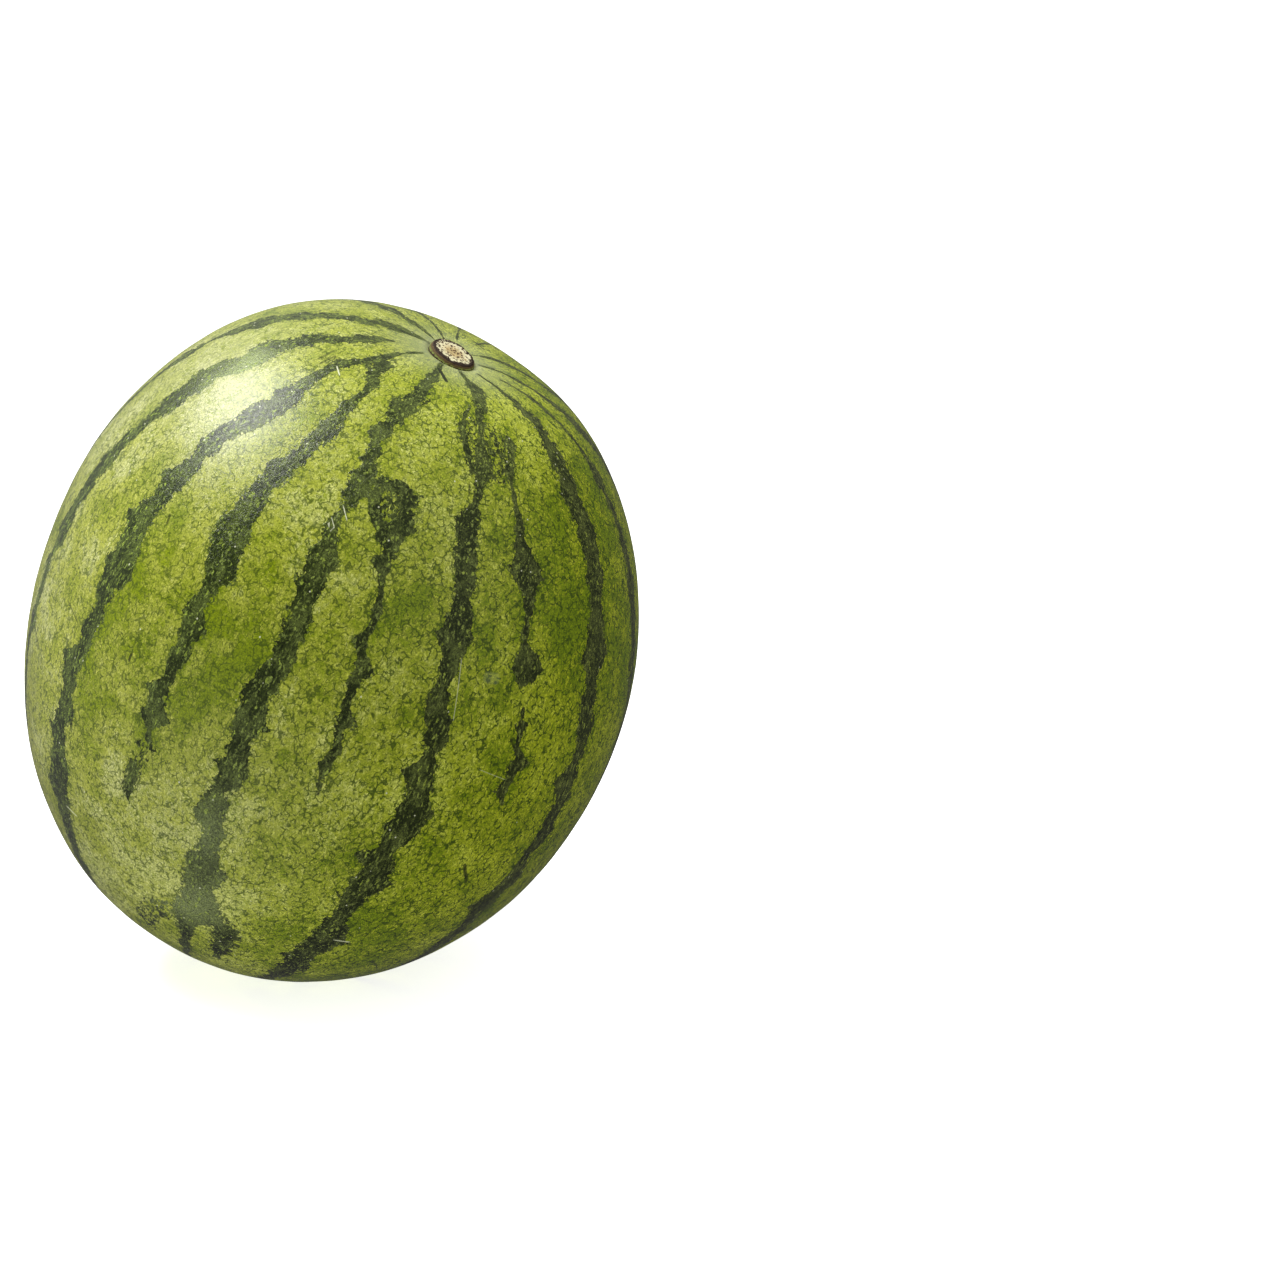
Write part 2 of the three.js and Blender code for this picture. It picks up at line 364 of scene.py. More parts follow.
# Small marks: (degrees from the stem, degrees round, the same where it ends, width in mm, tone), where a
# tone of -1 is a dark crack and 1 a pale scratch.
marks = [
    (8.4, -99.5, 11.0, -90.5, 1.7, -1.0), (12.7, 75, 11.8, 65.5, 0.8, -1.0),
    (24.4, -135.2, 25.0, -132.2, 0.5, 1.0), (44.6, -102.4, 45.8, -100.9, 0.4, 0.9),
    (47.2, -103.4, 47.9, -102.5, 0.35, 0.8), (48.0, -103.9, 48.6, -103.0, 0.35, 0.7),
    (62, -67.8, 72, -66.2, 0.4, 0.45), (81, -57, 82.5, -51.5, 0.35, 0.35),
    (126, -136, 126, -133, 0.8, 0.6), (125, -67, 125, -64.5, 0.8, 0.7), (64, -60.4, 64, -60.6, 4.6, 0.08),
    (102, -51, 103.6, -50, 1.6, -0.8), (104.6, -49, 105.5, -48.6, 1.3, -0.7),
    (100, -160, 101.5, -155, 0.8, -0.6), (88, -148, 89, -143, 0.8, -0.5),
    (23, -145.4, 25.2, -144, 1.0, -0.6), (23.4, -142, 25.6, -141, 1.0, -0.6),
    (23.2, -139.6, 24.5, -139, 0.8, -0.6), (33, -73.2, 34.2, -73, 0.7, -0.7),
    (86, -127, 86.4, -127, 1.2, -0.8), (62, -134.6, 62.4, -134.4, 1.1, -0.7),
    (75, -52.4, 75.5, -52, 1.2, -0.7),
]

# Between two of its points, a stripe's edge sags inwards.
sag = {
    "ofGap": 0.11,  # how far, as a share of the gap between the points
    "ofWidth": 0.15,  # and at most, as a share of the stripe's width
    "longestGap": 10,  # degrees, the longest gap that counts
}

# The side that is turned away: each stripe by where it runs, and where it starts and ends.
backStripes = {
    "middles": [52, 71, 90, 156],  # degrees round
    "starts": [24, 5, 6, 34],  # degrees from the stem
    "ends": [153, 157, 118, 152],
    "width": 5.2,  # degrees
    "widthSpread": (0.55, 1.1),  # the shares of it that each half may have
    "thorn": 2.3,  # degrees that the edges jut out, at most
    "thornPower": 4,  # the higher this is, the fewer thorns are long
    "wander": 1.0,  # degrees that the middle wanders
    "wanderLength": 50,  # degrees from the stem, from bend to bend
    "step": 4.5,  # degrees from point to point
    "stepSpread": (0.6, 1.4),  # the shares of it that a step may have
    "startTaper": (3, 35),  # degrees past the start over which it widens
    "startShare": 0.25,  # of the width, where it starts
    "endTaper": (2, -20),  # the same at its end
    "seed": 21,
    "wanderSeed": 200,
}


# A stripe of the far side: random steps along, a wandering middle and edges that jut out now and then.
def wildStripe(draw, home, start, end):
    look = backStripes
    steps = draw.uniform(*look["stepSpread"], int((end - start) / look["step"]))
    fromStem = start + (end - start) * np.cumsum(steps) / steps.sum()
    places = np.stack([fromStem, 0 * fromStem, 0 * fromStem], axis=-1)
    run = home + look["wander"] * ripple(places, look["wanderLength"], home + look["wanderSeed"])
    halves = look["width"] / 2 * draw.uniform(*look["widthSpread"], (2, len(fromStem)))
    halves += look["thorn"] * draw.uniform(0, 1, (2, len(fromStem))) ** look["thornPower"]
    least, opening, closing = look["startShare"], look["startTaper"], look["endTaper"]
    opened = least + (1 - least) * smoothStep(fromStem, start + opening[0], start + opening[1])
    halves *= smoothStep(fromStem, end + closing[0], end + closing[1]) * opened
    return np.stack([fromStem, run - halves[0], run + halves[1]], axis=-1)


# Both edges of a route: straight from point to point, less a parabola that sags inwards by a share of
# the gap between the points, or of the width where that is less, so that each point is a thorn's tip.
def scallopedEdges(down, at, left, right):
    below = np.clip(np.searchsorted(at, down) - 1, 0, len(at) - 2)
    gap = at[below + 1] - at[below]
    part = (down - at[below]) / gap
    leftLine = left[below] + (left[below + 1] - left[below]) * part
    rightLine = right[below] + (right[below + 1] - right[below]) * part
    deepest = sag["ofGap"] * np.minimum(gap, sag["longestGap"])
    deepest = np.minimum(deepest, sag["ofWidth"] * (rightLine - leftLine))
    dip = deepest * 4 * part * (1 - part)
    return leftLine + dip, rightLine - dip


farOff = 60.0  # mm, further than any stripe or mark reaches
usualWidth = 5.0  # mm, a stripe's


# The distance in mm from the nearest route's edge, below zero inside it, and that route's width there.
# The distance is the largest of those beyond its left edge, its right edge, its start and its end.
def nearestRoute(routes, fromStem, around, reach):
    nearest, wide = np.full(around.shape, farOff), np.full(around.shape, usualWidth)
    down, perDegree = np.degrees(fromStem), math.radians(1) * reach
    for route in routes:
        at, left, right = np.array(route, float).T
        home = (left.mean() + right.mean()) / 2
        turn = (np.degrees(around) - home + 180) % 360 - 180 + home
        leftEdge, rightEdge = scallopedEdges(down, at, left, right)
        past = np.maximum(at[0] - down, down - at[-1]) * math.radians(1) * fruit["wideRadius"]
        distance = np.maximum(np.maximum(leftEdge - turn, turn - rightEdge) * perDegree, past)
        wide = np.where(distance < nearest, (rightEdge - leftEdge) * perDegree, wide)
        nearest = np.minimum(nearest, distance)
    return nearest, wide


# For each point of the skin: the distance from the nearest stripe, its width, and the distance from a net.
def stripeField(fromStem, around, reach):
    draw = np.random.default_rng(backStripes["seed"])
    far = [wildStripe(draw, *row) for row in
           zip(backStripes["middles"], backStripes["starts"], backStripes["ends"])]
    edge, wide = nearestRoute(list(stripes.values()) + far, fromStem, around, reach)
    return np.stack([edge, wide, nearestRoute(nets.values(), fromStem, around, reach)[0]], axis=-1)


# For each point: how far it is across the nearest mark, in half widths, its distance from the mark's
# rim in mm, and the mark's tone.
def markField(bare):
    found = np.full(bare.shape, farOff)
    for down, around, downEnd, aroundEnd, width, tone in marks:
        start, end = skinPoints(np.radians([down, downEnd]), np.radians([around, aroundEnd]))
        length = np.linalg.norm(end - start)
        along = (end - start) / length
        across = np.cross(start / np.linalg.norm(start), along)
        offset = bare - start
        beside = offset - np.clip(offset @ along, 0, length)[..., None] * along
        rim = np.linalg.norm(beside, axis=-1) - width / 2
        here = np.stack([offset @ across / (width / 2), rim, tone + 0 * rim], axis=-1)
        found = np.where((rim < found[..., 1])[..., None], here, found)
    return found


# Soft patches of the ground: (degrees from the stem, degrees round, radius in mm, tone), where the
# tone is -1 for a deep green and 1 for a pale one. A pale patch greys the stripes that cross it too.
# The pale ones at 34 and 40 degrees from the stem, where the soft box's highlight falls, are painted
# highlight.
softPatches = [
    (45, -24, 34, -1.0), (62, -18, 28, -0.8), (38, -46, 22, -0.8), (54, -44, 20, -0.7),
    (56, -81, 17, -1.3), (46, -92, 14, -0.9), (74, -110, 20, -1.1), (64, -129, 14, -0.5),
    (92, -60, 20, -0.35), (113, -62, 20, -0.7), (126, -80, 14, -0.6), (136, -55, 26, -0.8),
    (105, -129, 24, -0.3), (24, -143, 6, -0.8), (80, -40, 20, -0.4), (119, -89, 10, 1.1),
    (128, -97, 17, 1.2), (98, -98, 14, 0.45), (110, -101, 18, 1.1), (40, -151, 15, 1.5),
    (61, -122, 16, 0.4), (34, -157, 8, 1.2), (78, -130, 36, -0.8), (100, -85, 22, 0.35),
    (32, -92, 20, 0.5), (38, -64, 8, 0.7), (20, -45, 18, 0.5), (12, -18, 18, 0.4), (130, -112, 22, 0.8),
    (56, -96, 13, -0.5), (98, -126, 11, -0.6), (140, -128, 22, 0.6), (52, -152, 36, 0.35),
    (92, -166, 36, 0.35), (60, 20, 34, 0.5), (95, 60, 40, -0.6), (50, 110, 30, 0.5), (110, 140, 34, 0.6),
    (80, 95, 24, -0.5),
]


# Where a thin coat of wax makes the ground paler, and where painted sheen pales it on the upper left
# and along the left limb, in the same form.
waxAndSheenPatches = [
    (38, -161, 30, 0.8), (66, -184, 38, 0.25), (36, -232, 40, 0.5), (50, -140, 24, 0.3),
]


# The sum of a bell at each patch, by the distance from it through the fruit.
def patchSum(bare, patches):
    rows = np.array(patches)
    spots = skinPoints(np.radians(rows[:, 0]), np.radians(rows[:, 1]))
    tone = np.zeros(bare.shape[:2])
    for spot, radius, depth in zip(spots, rows[:, 2], rows[:, 3]):
        tone += depth * np.exp(-(((bare - spot) ** 2).sum(axis=-1)) / radius ** 2)
    return tone


# An sRGB hex colour as the linear numbers that Blender's colours use.
def linear(hexColour):
    shares = [int(hexColour[i:i + 2], 16) / 255 for i in (1, 3, 5)]
    return [c / 12.92 if c <= 0.04045 else ((c + 0.055) / 1.055) ** 2.4 for c in shares] + [1]


# Adds one node. Values and other nodes feed its live inputs in order, or by name (Base_Color), and
# lower-case words, such as operation, are its settings. A node as a feed gives its first live output.
# In order, a noise takes its place, scale, detail and roughness, and MapRange takes a value, the two
# ends of what it runs over and the two ends of what it gives.
def addNode(tree, kind, *feeds, **named):
    node = tree.nodes.new("ShaderNode" + kind)
    for word in filter(str.islower, named):
        setattr(node, word, named[word])
    pairs = list(zip((socket for socket in node.inputs if socket.enabled), feeds))
    pairs += [(node.inputs[word.replace("_", " ")], named[word]) for word in named if not word.islower()]
    for socket, value in pairs:
        if isinstance(value, bpy.types.Node):
            value = next(output for output in value.outputs if output.enabled)
        if isinstance(value, bpy.types.NodeSocket):
            tree.links.new(value, socket)
        elif value is not None:
            socket.default_value = value
    return node


# An empty material and its node tree.
def newMaterial(name):
    material = bpy.data.materials.new(name)
    material.use_nodes = True
    material.node_tree.nodes.clear()
    return material, material.node_tree


# The values of a look as look.name, with its hex colours made linear.
def readLook(look):
    values = {name: linear(value) if isinstance(value, str) else value for name, value in look.items()}
    return SimpleNamespace(**values)


# Settings that many nodes share.
soft = {"interpolation_type": "SMOOTHSTEP"}
mixed = {"data_type": "RGBA"}
multiplied = {"data_type": "RGBA", "blend_type": "MULTIPLY"}
plus = {"operation": "ADD"}
minus = {"operation": "SUBTRACT"}
times = {"operation": "MULTIPLY"}
timesPlus = {"operation": "MULTIPLY_ADD"}
larger = {"operation": "MAXIMUM"}

# Textures by what they draw.
textures = {
    "noise": ("TexNoise", {}),
    "cells": ("TexVoronoi", {"feature": "F1"}),
    "softCells": ("TexVoronoi", {"feature": "SMOOTH_F1"}),
    "walls": ("TexVoronoi", {"feature": "DISTANCE_TO_EDGE"}),
}


# Waxy melon rind: a smooth cuticle over cells with more or less leaf green in them. The eye sees a
# mottled yellow-green ground with fine dark cracks, jagged dark stripes with light flecks in them,
# and a soft broad gloss. A Range is the two ends that something runs over, and where it has four
# numbers, the last two are what it gives there in place of 0 and 1.
rindLook = {
    "paleGround": "#bfc764",
    "midGround": "#a6b033",
    "deepGround": "#7c8f00",
    "midRange": (0.36, 0.5),  # from deep ground to middling ground
    "paleRange": (0.48, 0.66),  # and from that to pale
    "patch": 24.0,  # mm across a pale or a deep patch
    "patchShare": 0.4,  # how much random patches count
    "toneShare": 0.085,  # and how much the soft patches do
    "mottle": 10.0,  # mm across a mottle in a patch
    "mottleShare": 0.3,
    "vividRange": (-0.3, 0.6, 1.5, 0.7),  # how plain the mottling is, from the shaded side to the lit side
    "grain": 0.54,  # mm across a grain of colour: real cells are finer, and this is the least that shows
    "grainRange": (0.3, 0.7),
    "groundGrains": ([0.5, 0.54, 0.32, 1], [1.48, 1.45, 1.85, 1]),  # dark and pale ones multiply by this
    "stripeGrains": ([0.22, 0.24, 0.18, 1], [2.15, 2.15, 2.2, 1]),
    "pebbleTints": ([1.29, 1.28, 1.45, 1], [0.89, 0.92, 0.76, 1]),  # a pebble, and what lies between
    "pebbleShare": 0.7,
    # wax, and painted sheen, which pale the ground
    "wax": "#dcdfc0",
    "waxShare": 0.24,
    "veins": [(3.6, 0.04), (1.7, 0.035)],  # mm from vein to vein, and how thick
    "veinTint": [0.5, 0.58, 0.14, 1],  # what a vein leaves of the ground's colour
    "crackGreen": "#3f5406",
    "crackPlace": 2.6,  # mm across a place that has cracks
    "crackPlaceRange": (0.45, 0.55),
    "crackNearStripe": 0.12,  # how much further such places reach beside a stripe
    "crackSideRange": (0.7, 1.5, 0.75, 0.95),
    "crackWaxRange": (0.2, 0.9, 1.0, 0.25),  # wax fills them, and the painted sheen washes them out
    "fray": 0.8,  # mm across the fraying of a stripe's edge
    "frayRange": (0.3, 0.7, 0.5, -0.5),
    "narrowRange": (0.8, 6.0, 0.2, 1.0),  # mm wide: a narrow stripe is bitten less
    "edgeRange": (-0.22, 0.22, 1.0, 0.0),
    "besideRange": (0.2, 3.5, 1.0, 0.0),  # mm from a stripe
    "netRange": (-0.3, 0.5, 1.0, 0.0),
    "stripeGreen": "#252e05",
    "stripeGrey": "#495124",
    "stripeBloom": "#868d63",  # where wax or a thin rind greys a stripe; by the soft box's highlight, painted highlight
    "bloomRange": (0.3, 2.0, 0.0, 0.85),
    "fleckGreen": "#88943a",
    "fleckGrey": "#747d42",
    "fleck": 1.25,  # mm across a fleck in a stripe
    "fleckCoreRange": (0.0, 1.0, 0.1, 0.3),  # how far the smallest and the largest have their full colour
    "fleckRimRange": (0.0, 1.0, 0.24, 0.5),  # and how far they reach
    "fleckPlace": 8.0,  # mm across a place that has flecks
    "fleckPlaceShare": 1.7,  # how much the place counts
    "fleckChance": 0.6,  # and how much chance does
    "fleckRange": (0.95, 1.2),
    "fleckInsideRange": (-0.2, -0.8, 0.0, 0.9),  # none at a stripe's very edge
    "sunnySide": (-0.966, -0.259, 0.0),  # in the pattern's coordinates, the lit side: painted light yellows it
    "sunRange": (-0.5, 1.0),
    "groundTints": ([1.0, 1.0, 0.22, 1], [1.08, 1.0, 1.7, 1]),  # painted light: the ground's tint on the shaded and on the lit side
    # painted light: the stripes' tint on the shaded and on the lit side
    "stripeTints": ([1.0, 1.0, 0.8, 1], [1.0, 1.12, 0.78, 1]),
    # the pale of painted glints and of pale scratches
    "speckPale": "#dfe2bd",
    "speck": 3.6,  # mm between painted glints, pale dots of light on raised specks, at the nearest
    "speckRange": (0.06, 0.11, 0.9, 0.0),
    "speckFewer": (0.0, 1.0, 0.93, 0.5),  # the share of them left out, in the ground and in a stripe
    "endPale": "#b9bf95",
    "groundEndRange": (9.5, 34.0, 0.4, 0.0),  # mm from the middle of the plug
    "plugEndRange": (9.5, 14.0, 0.3, 0.0),
    "blossomEndRange": (2.0, 16.0, 0.5, 0.0),
    "markRange": (0.7, 1.1, 1.0, 0.0),  # half widths from a mark's middle
    "markRimRange": (0.5, 1.4, 1.0, 0.0),
    "roughness": 0.28,
    "ior": 1.5,
    "bumpRange": (0.0, 1.0, 1.0, 2.2),  # a stripe's grain stands higher
    "bump": (0.6, 0.13),  # strength, and mm
    # coordinates: pushed about (mm across a push, and mm far), so that no cell has a straight side,
    # and stretched along the fruit
    "pushes": {"warped": (3.0, 2.4), "loose": (2.0, 2.2), "fine": (1.2, 0.7), "crooked": (2.2, 2.6)},
    "stretches": {"longways": 0.42, "drawn": 0.27},  # the less, the longer
    # texture, coordinates, mm from one to the next, a noise's detail and roughness, and a range
    "patterns": {
        "blotches": ("softCells", "warped", 7.5, (), (0.2, 0.7, 0.34, 0.27)),
        "cells": ("noise", "warped", 1.7, (2.0, 0.6), (0.36, 0.64, -0.055, 0.055)),
        "pebbles": ("cells", "fine", 1.25, (), (0.1, 0.7)),
        "veinPlaces": ("noise", "growth", 6.0, (2.0,), (0.4, 0.58, 0.25, 1.0)),
        "cracks": ("walls", "crooked", 2.9, (), (0.02, 0.12, 1.0, 0.0)),
        "dashes": ("walls", "longways", 1.5, (), (0.0, 0.12, 1.0, 0.0)),  # short and dark
        "dashPlaces": ("noise", "growth", 1.7, (1.0,), (0.53, 0.62)),
        "bites": ("cells", "warped", 5.5, (), (0.1, 0.75, 1.1, -1.1)),  # round, in a stripe's edge
        "nicks": ("cells", "warped", 1.6, (), (0.1, 0.8, 0.75, -0.75)),  # small ones in it
        "holes": ("noise", "longways", 1.4, (2.0, 0.65), (0.47, 0.53, 1.0, 0.0)),  # of the nets
        "greys": ("noise", "longways", 5.0, (3.0, 0.65), (0.42, 0.62)),
        "streaks": ("noise", "longways", 0.85, (2.0, 0.6), (0.5, 0.7, 0.0, 0.7)),
    },
}


# The rind's nodes: its patterns, then the ground, the stripes, and what lies over both.
def rindMaterial():
    look = readLook(rindLook)
    material, tree = newMaterial("waxyMelonRind")
    add = functools.partial(addNode, tree)
    fields = ("growth", "route", "ends", "mark")
    growth, route, ends, mark = (add("Attribute", attribute_name=name).outputs["Vector"] for name in fields)
    tone = add("Attribute", attribute_name="tone").outputs["Fac"]
    edge, wide, netEdge = add("SeparateXYZ", route).outputs
    fromPlug, fromBlossom, wax = add("SeparateXYZ", ends).outputs
    markAcross, markRim, markTone = add("SeparateXYZ", mark).outputs

    # every kind of coordinates, and the patterns on them
    places = {"growth": growth}
    for name, (size, far) in look.pushes.items():
        noise = add("TexNoise", growth, 1 / size, 2.0, 0.6).outputs["Color"]
        centred = add("VectorMath", noise, (0.5, 0.5, 0.5), **minus)
        push = add("VectorMath", centred, Scale=far, operation="SCALE")
        places[name] = add("VectorMath", growth, push, **plus)
    for name, stretch in look.stretches.items():
        places[name] = add("Mapping", places["loose"], Scale=(1, 1, stretch))
    warped = places["warped"]
    made = SimpleNamespace()
    for name, (texture, place, size, fineness, span) in look.patterns.items():
        kind, settings = textures[texture]
        source = add(kind, places[place], 1 / size, *fineness, **settings)
        setattr(made, name, add("MapRange", source, *span, **soft))

    # the way towards the lit side, where painted warm light tints the colours
    litWay = tuple(np.array(look.sunnySide) / fruit["wideRadius"])
    side = add("VectorMath", growth, litWay, operation="DOT_PRODUCT")
    litSide = add("MapRange", side, *look.sunRange)
    vivid = add("MapRange", side, *look.vividRange)
    grain = add("TexNoise", warped, 1 / look.grain, 2.0, 0.75)
    grained = add("MapRange", grain, *look.grainRange)

    # a stripe's edge: round bites of ground leave thorns between them, nicks and fraying roughen it
    frays = add("MapRange", add("TexNoise", growth, 1 / look.fray, 1.0), *look.frayRange)
    ragged = add("Math", add("Math", made.bites, made.nicks, **plus), frays, **plus)
    narrow = add("MapRange", wide, *look.narrowRange, **soft)
    jagged = add("Math", ragged, narrow, edge, **timesPlus)
    nearStripe = add("MapRange", jagged, *look.besideRange, **soft)
    inNet = add("MapRange", add("Math", ragged, netEdge, **plus), *look.netRange, **soft)
    inNet = add("Math", inNet, made.holes, **times)
    inStripe = add("Math", add("MapRange", jagged, *look.edgeRange, **soft), inNet, **larger)

    # ground: slow patches, mottles, round blotches and small cells make it deep, middling or pale
    toned = add("Math", tone, look.toneShare, **times)
    patches = add("Math", add("TexNoise", growth, 1 / look.patch, 2.0), look.patchShare, toned, **timesPlus)
    mottle = add("Math", add("TexNoise", warped, 1 / look.mottle, 2.0), 0.5, **minus)
    mottle = add("Math", mottle, add("Math", vivid, look.mottleShare, **times), **times)
    for more in (mottle, made.blotches, add("Math", made.cells, vivid, **times)):
        patches = add("Math", patches, more, **plus)
    ground = look.deepGround
    for span, greener in ((look.midRange, look.midGround), (look.paleRange, look.paleGround)):
        ground = add("Mix", add("MapRange", patches, *span, **soft), ground, greener, **mixed)

    # soft veins, and crisp cracks and short dashes that keep to places and gather near the stripes
    veins = 0.0
    for size, thick in look.veins:
        vein = add("Math", add("TexNoise", warped, 1 / size, 2.0, 0.55), 0.5, **minus)
        vein = add("MapRange", add("Math", vein, operation="ABSOLUTE"), 0.0, thick, 1.0, 0.0, **soft)
        veins = add("Math", veins, vein, **larger)
    veins = add("Math", veins, made.veinPlaces, **times)
    local = add("Math", nearStripe, look.crackNearStripe, add("TexNoise", growth, 1 / look.crackPlace, 1.0),
                **timesPlus)
    cracks = add("Math", made.cracks, add("MapRange", local, *look.crackPlaceRange, **soft), **times)
    cracks = add("Math", cracks, add("Math", made.dashes, made.dashPlaces, **times), **larger)
    cracks = add("Math", cracks, add("MapRange", vivid, *look.crackSideRange), **times)
    cracks = add("Math", cracks, add("MapRange", wax, *look.crackWaxRange), **times)

    # grain, pale pebbles, and wax with painted sheen lie on the ground, and then veins and cracks
    pebbleTint = add("Mix", made.pebbles, *look.pebbleTints, **mixed)
    for share, over, way in (
        (1.0, add("Mix", grained, *look.groundGrains, **mixed), multiplied),
        (add("Math", vivid, look.pebbleShare, **times), pebbleTint, multiplied),
        (add("Math", wax, look.waxShare, **times), look.wax, mixed),
    ):
        ground = add("Mix", share, ground, over, **way)
    veined = add("Mix", 1.0, ground, look.veinTint, **multiplied)
    for share, over in ((veins, veined), (cracks, look.crackGreen)):
        ground = add("Mix", share, ground, over, **mixed)

    # flecks of many sizes, in some places more than in others
    fleck = add("TexVoronoi", places["drawn"], 1 / look.fleck, feature="F1")
    chance, kind, size = add("SeparateXYZ", fleck.outputs["Color"]).outputs
    core, rim = (add("MapRange", size, *span) for span in (look.fleckCoreRange, look.fleckRimRange))
    flecks = add("MapRange", fleck, core, rim, 1.0, 0.0, **soft)
    flecked = add("Math", add("TexNoise", growth, 1 / look.fleckPlace, 2.0), look.fleckPlaceShare,
                  add("Math", chance, look.fleckChance, **times), **timesPlus)
    for limit, span in ((flecked, look.fleckRange), (jagged, look.fleckInsideRange)):
        flecks = add("Math", flecks, add("MapRange", limit, *span, **soft), **times)

    # stripe: dark and grey stretches, bloom and painted highlight, light streaks along it, flecks and grain,
    # and the tint of painted light
    stripe = look.stripeGreen
    for share, over, way in (
        (made.greys, look.stripeGrey, mixed),
        (add("MapRange", tone, *look.bloomRange, **soft), look.stripeBloom, mixed),
        (made.streaks, look.fleckGrey, mixed),
        (flecks, add("Mix", kind, look.fleckGreen, look.fleckGrey, **mixed), mixed),
        (1.0, add("Mix", grained, *look.stripeGrains, **mixed), multiplied),
        (1.0, add("Mix", litSide, *look.stripeTints, **mixed), multiplied),
    ):
        stripe = add("Mix", share, stripe, over, **way)

    # painted light: the lit side is tinted yellower, as by warm bounce light, and the shaded side a fuller
    # green, as by green reflected light; and the ground pales round the plug
    ground = add("Mix", 1.0, ground, add("Mix", litSide, *look.groundTints, **mixed), **multiplied)
    paler = add("MapRange", fromPlug, *look.groundEndRange, **soft)
    ground = add("Mix", paler, ground, look.endPale, **mixed)
    colour = add("Mix", inStripe, ground, stripe, **mixed)

    # painted glints: small pale dots of light caught on raised specks, many in the stripes and few in the
    # ground
    speck = add("TexVoronoi", growth, 1 / look.speck, feature="F1")
    lit, _, _ = add("SeparateXYZ", speck.outputs["Color"]).outputs
    paintedGlints = add("Math", lit, add("MapRange", inStripe, *look.speckFewer), operation="GREATER_THAN")
    paintedGlints = add("Math", paintedGlints, add("MapRange", speck, *look.speckRange, **soft), **times)

    # small marks, pale or dark
    marked = add("MapRange", add("Math", markAcross, operation="ABSOLUTE"), *look.markRange, **soft)
    marked = add("Math", marked, add("MapRange", markRim, *look.markRimRange, **soft), **times)
    pale = add("Math", marked, add("Math", markTone, 0.0, **larger), **times)
    dark = add("Math", marked, add("Math", markTone, 0.0, operation="MINIMUM"), **times)

    # over all lie the painted glints, the paler and greyer ends, and the marks
    for share, over in (
        (paintedGlints, look.speckPale),
        (add("MapRange", fromPlug, *look.plugEndRange, **soft), look.endPale),
        (add("MapRange", fromBlossom, *look.blossomEndRange, **soft), look.endPale),
        (pale, look.speckPale),
        (add("Math", dark, -1.0, **times), look.stripeGreen),
    ):
        colour = add("Mix", share, colour, over, **mixed)

    strength, high = look.bump
    relief = add("Math", add("MapRange", inStripe, *look.bumpRange), grain, **times)
    bump = add("Bump", Strength=strength, Distance=high * mm, Height=relief)
    skin = add("BsdfPrincipled", colour, Roughness=look.roughness, IOR=look.ior, Normal=bump)
    add("OutputMaterial", skin)
    return material


# Cork: the dry, dead tissue that seals where the stem was. The eye sees a matt cream face with brown
# pits and an ochre middle, a dark rim, and a mottled green and brown side. The dark rims at the face's
# brow and at the foot, in the groove, are painted shade. The ranges that end in Down run from 0 at the
# middle of the face to 1 under the skin.
corkLook = {
    "face": "#e3dcb0",
    "middle": "#b08f48",
    "middleDown": (0.03, 0.12, 0.7, 0.0),
    "pit": "#472c10",
    "paleBrown": "#94713a",
    "pits": 1.1,  # mm from pit to pit
    "pitRange": (0.38, 0.54, 1.0, 0.0),
    "pitChance": (0.2, 0.26),  # cells under this have none
    "pitBrown": (0.25, 0.35),  # from pale brown to dark
    "pitShare": 0.92,
    "sideGreen": "#7d8a38",
    "sideBrown": "#57431b",
    "faceDown": (0.28, 0.32),  # where the face turns to the side
    "greenDown": (0.44, 0.54),
    "lumpRange": (0.48, 0.58, 0.0, 0.8),
    # painted shade, at the face's brow and at the foot in the groove
    "rim": "#2e1a04",
    "browInDown": (0.12, 0.145),  # where the painted shade round the face's brow starts and ends
    "browOutDown": (0.34, 0.4, 1.0, 0.0),
    # where the painted shade at the foot, in the groove, starts and is full
    "footDown": (0.53, 0.6),
    "wobble": 0.14,  # how far lumps push these rims about
    "roughness": 0.8,
    "ior": 1.5,
    "bump": (0.6, 0.3),  # strength, and mm
}


